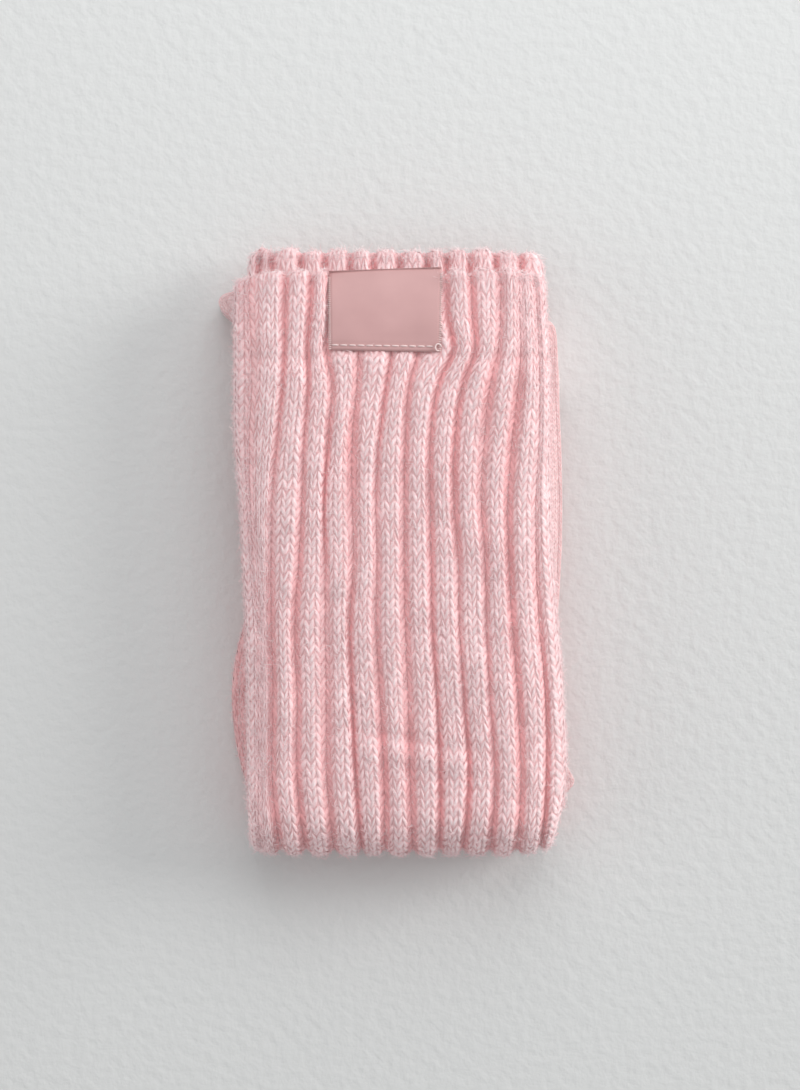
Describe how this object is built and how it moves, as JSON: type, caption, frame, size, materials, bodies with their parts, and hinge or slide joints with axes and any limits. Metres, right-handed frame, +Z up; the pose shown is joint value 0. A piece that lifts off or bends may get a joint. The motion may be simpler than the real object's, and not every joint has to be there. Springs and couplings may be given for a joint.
{
  "type": "folded pair of slouch socks",
  "caption": "Pair of wide-rib knit slouch socks, laid on each other and folded flat, with a plain ribbon label over the top cuff.",
  "frame": {"origin": "on the surface the socks lie on, under the middle of the folded stack", "axes": "+Y along the socks towards their cuffs, +X across them to the right as seen from above with the cuffs away from the viewer, +Z up"},
  "size_m": [0.1141, 0.193, 0.0325],
  "materials": {
    "rib_knit": "soft brushed cotton wide-rib knit, pale pink, deeper coral in the furrows",
    "plain_knit": "soft cotton plain fine knit, pale pink",
    "satin_ribbon": "dusty rose satin ribbon with a soft sheen"
  },
  "bodies": {
    "root": {"top_sock_leg": "rib_knit", "second_sock_leg": "rib_knit", "folded_feet": "plain_knit", "label": "satin_ribbon"}
  },
  "joints": []
}
